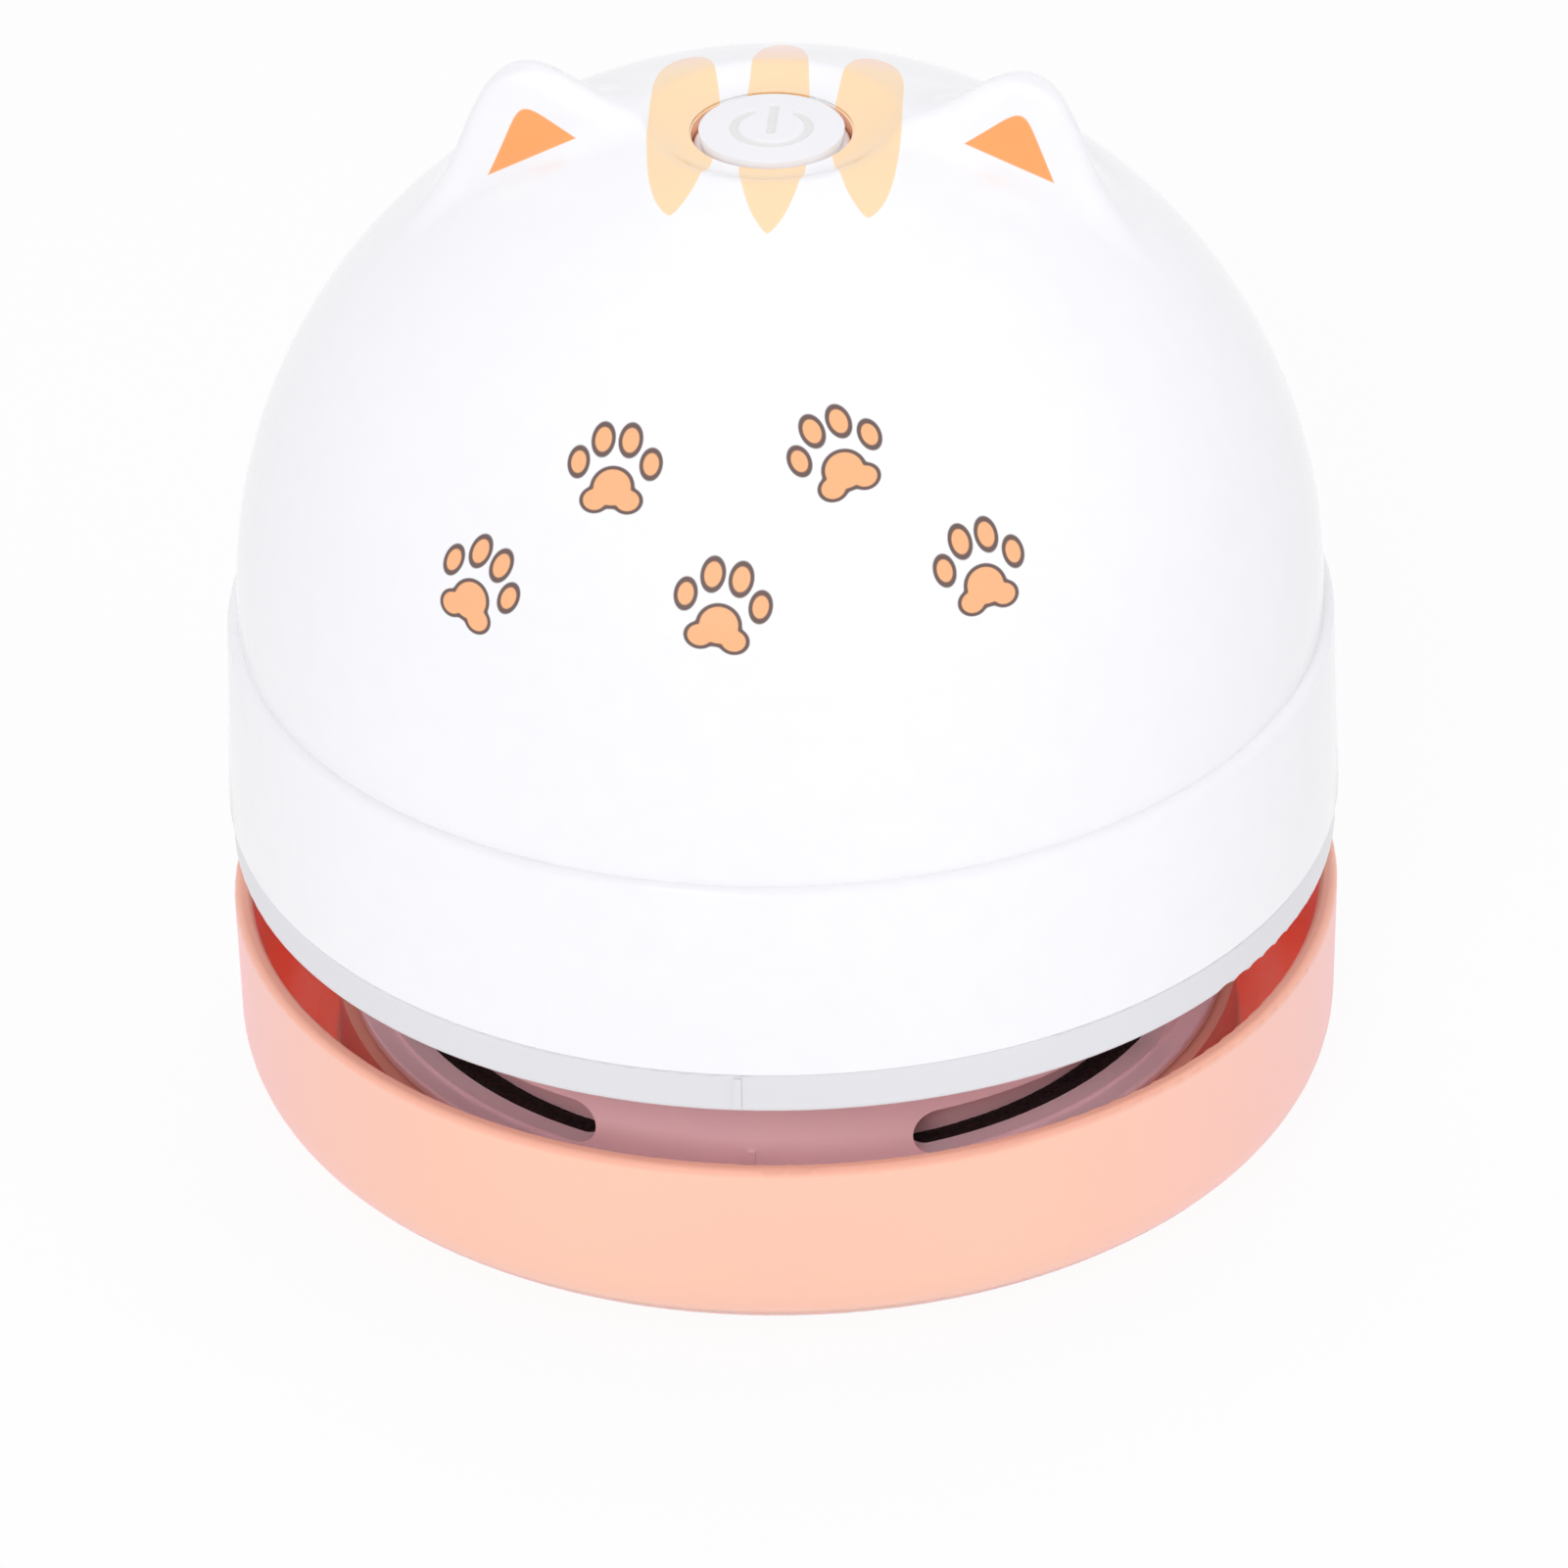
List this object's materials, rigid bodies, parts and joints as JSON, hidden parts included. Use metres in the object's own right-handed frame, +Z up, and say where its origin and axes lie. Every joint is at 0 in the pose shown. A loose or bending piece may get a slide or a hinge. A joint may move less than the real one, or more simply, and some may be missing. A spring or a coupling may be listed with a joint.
{
  "type": "desktop mini vacuum cleaner",
  "caption": "Palm-sized desk vacuum: domed cat-eared shell on a twist-off dust cup, with a push button on top, a charging port behind and a nozzle socket below.",
  "frame": {"origin": "middle of the footprint, on the desk surface under the feet", "axes": "+Z up through the button, -Y towards the printed front, +X to the right seen from behind the front, which is the right of the picture of the front"},
  "size_m": [0.092, 0.092, 0.0923],
  "materials": {
    "peach_abs": "moulded ABS, satin gloss",
    "black_rubber": "matt rubber",
    "black_plastic": "moulded, matt",
    "black_nylon": "nylon bristle",
    "grey_abs": "moulded ABS, satin",
    "white_plastic": "moulded, natural white",
    "black_foam": "open-cell foam",
    "nylon_mesh": "fine woven mesh",
    "grey_plastic": "moulded, matt",
    "zinc_steel": "zinc plated, drawn",
    "ferrite": "sintered ferrite",
    "brass": "stamped",
    "polished_steel": "ground shaft",
    "core_steel": "stacked laminations",
    "copper": "copper",
    "cell_sleeve": "shrunk sleeve",
    "circuit_board": "solder mask",
    "component_black": "moulded",
    "tin_plate": "tin plated, folded",
    "white_abs": "high-gloss moulded ABS",
    "button_abs": "moulded ABS, satin gloss",
    "screw_steel": "zinc plated"
  },
  "bodies": {
    "cup": {"dust_cup": "peach_abs", "feet": "black_rubber", "bristle_strips": "black_plastic", "bristles": "black_nylon"},
    "upper_unit": {"motor_deck": "grey_abs", "fan_housing": "white_plastic", "exhaust_gasket": "black_foam", "filter_frame": "white_plastic", "filter_mesh": "nylon_mesh", "filter_foam": "black_foam", "motor_can": "zinc_steel", "motor_magnets": "ferrite", "motor_cap": "black_plastic", "motor_terminals": "brass", "battery_cell": "cell_sleeve", "battery_cradle": "white_plastic", "main_board": "circuit_board", "board_parts": "component_black", "usb_socket": "tin_plate", "top_shell": "white_abs", "push_switch": "component_black", "switch_board": "circuit_board", "shell_screws": "screw_steel", "housing_screws": "screw_steel", "motor_screws": "screw_steel", "board_screws": "screw_steel", "switch_screws": "screw_steel"},
    "power_button": {"button": "button_abs", "switch_plunger": "white_plastic"},
    "fan_rotor": {"impeller": "grey_plastic", "motor_shaft": "polished_steel", "armature": "core_steel", "windings": "copper", "commutator": "copper"}
  },
  "joints": [
    {"name": "cup_twist", "type": "hinge", "parent": "cup", "child": "upper_unit", "pos_m": [0, 0, 0.0089], "axis": [0, 0, 1], "range_deg": [0, 20]},
    {"name": "button_press", "type": "slide", "parent": "upper_unit", "child": "power_button", "axis": [0, 0, -1], "range_m": [0, 0.0018], "stiffness_N_per_m": 900},
    {"name": "fan_spin", "type": "hinge", "parent": "upper_unit", "child": "fan_rotor", "pos_m": [0, 0, 0.03], "axis": [0, 0, 1], "continuous": true}
  ]
}
